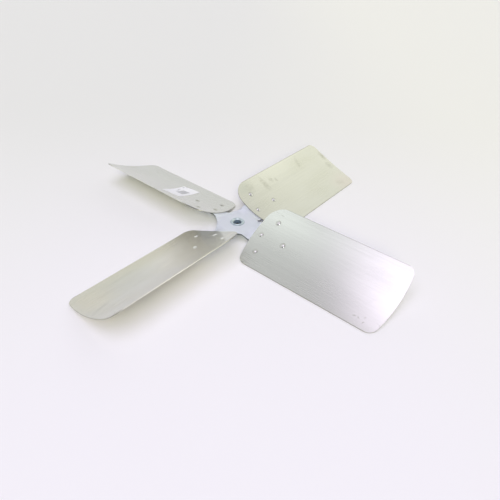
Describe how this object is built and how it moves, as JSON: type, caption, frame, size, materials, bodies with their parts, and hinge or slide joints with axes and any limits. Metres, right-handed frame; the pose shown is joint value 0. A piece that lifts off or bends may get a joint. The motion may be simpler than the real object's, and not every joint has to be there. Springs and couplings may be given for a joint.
{
  "type": "condenser fan blade",
  "caption": "Axial fan of cambered sheet blades riveted to a pressed spider, on a bored hub that a set screw locks to a motor shaft.",
  "frame": {"origin": "on the bore axis, in the plane of the hub's shoulder where the spider's underside sits", "axes": "+Z along the bore, away from the hub's barrel; +X along the first blade"},
  "size_m": [0.5588, 0.5588, 0.0446],
  "materials": {
    "blade_sheet": "satin",
    "zinc_plated_steel": "satin",
    "turned_steel": "satin",
    "black_steel": "satin",
    "rivet_metal": "satin",
    "label_paper": "matte"
  },
  "bodies": {
    "root": {"blade_1": "blade_sheet", "blade_2": "blade_sheet", "blade_3": "blade_sheet", "blade_4": "blade_sheet", "spider": "zinc_plated_steel", "hub": "turned_steel", "set_screw": "black_steel", "rivets": "rivet_metal", "paper_label": "label_paper"}
  },
  "joints": []
}
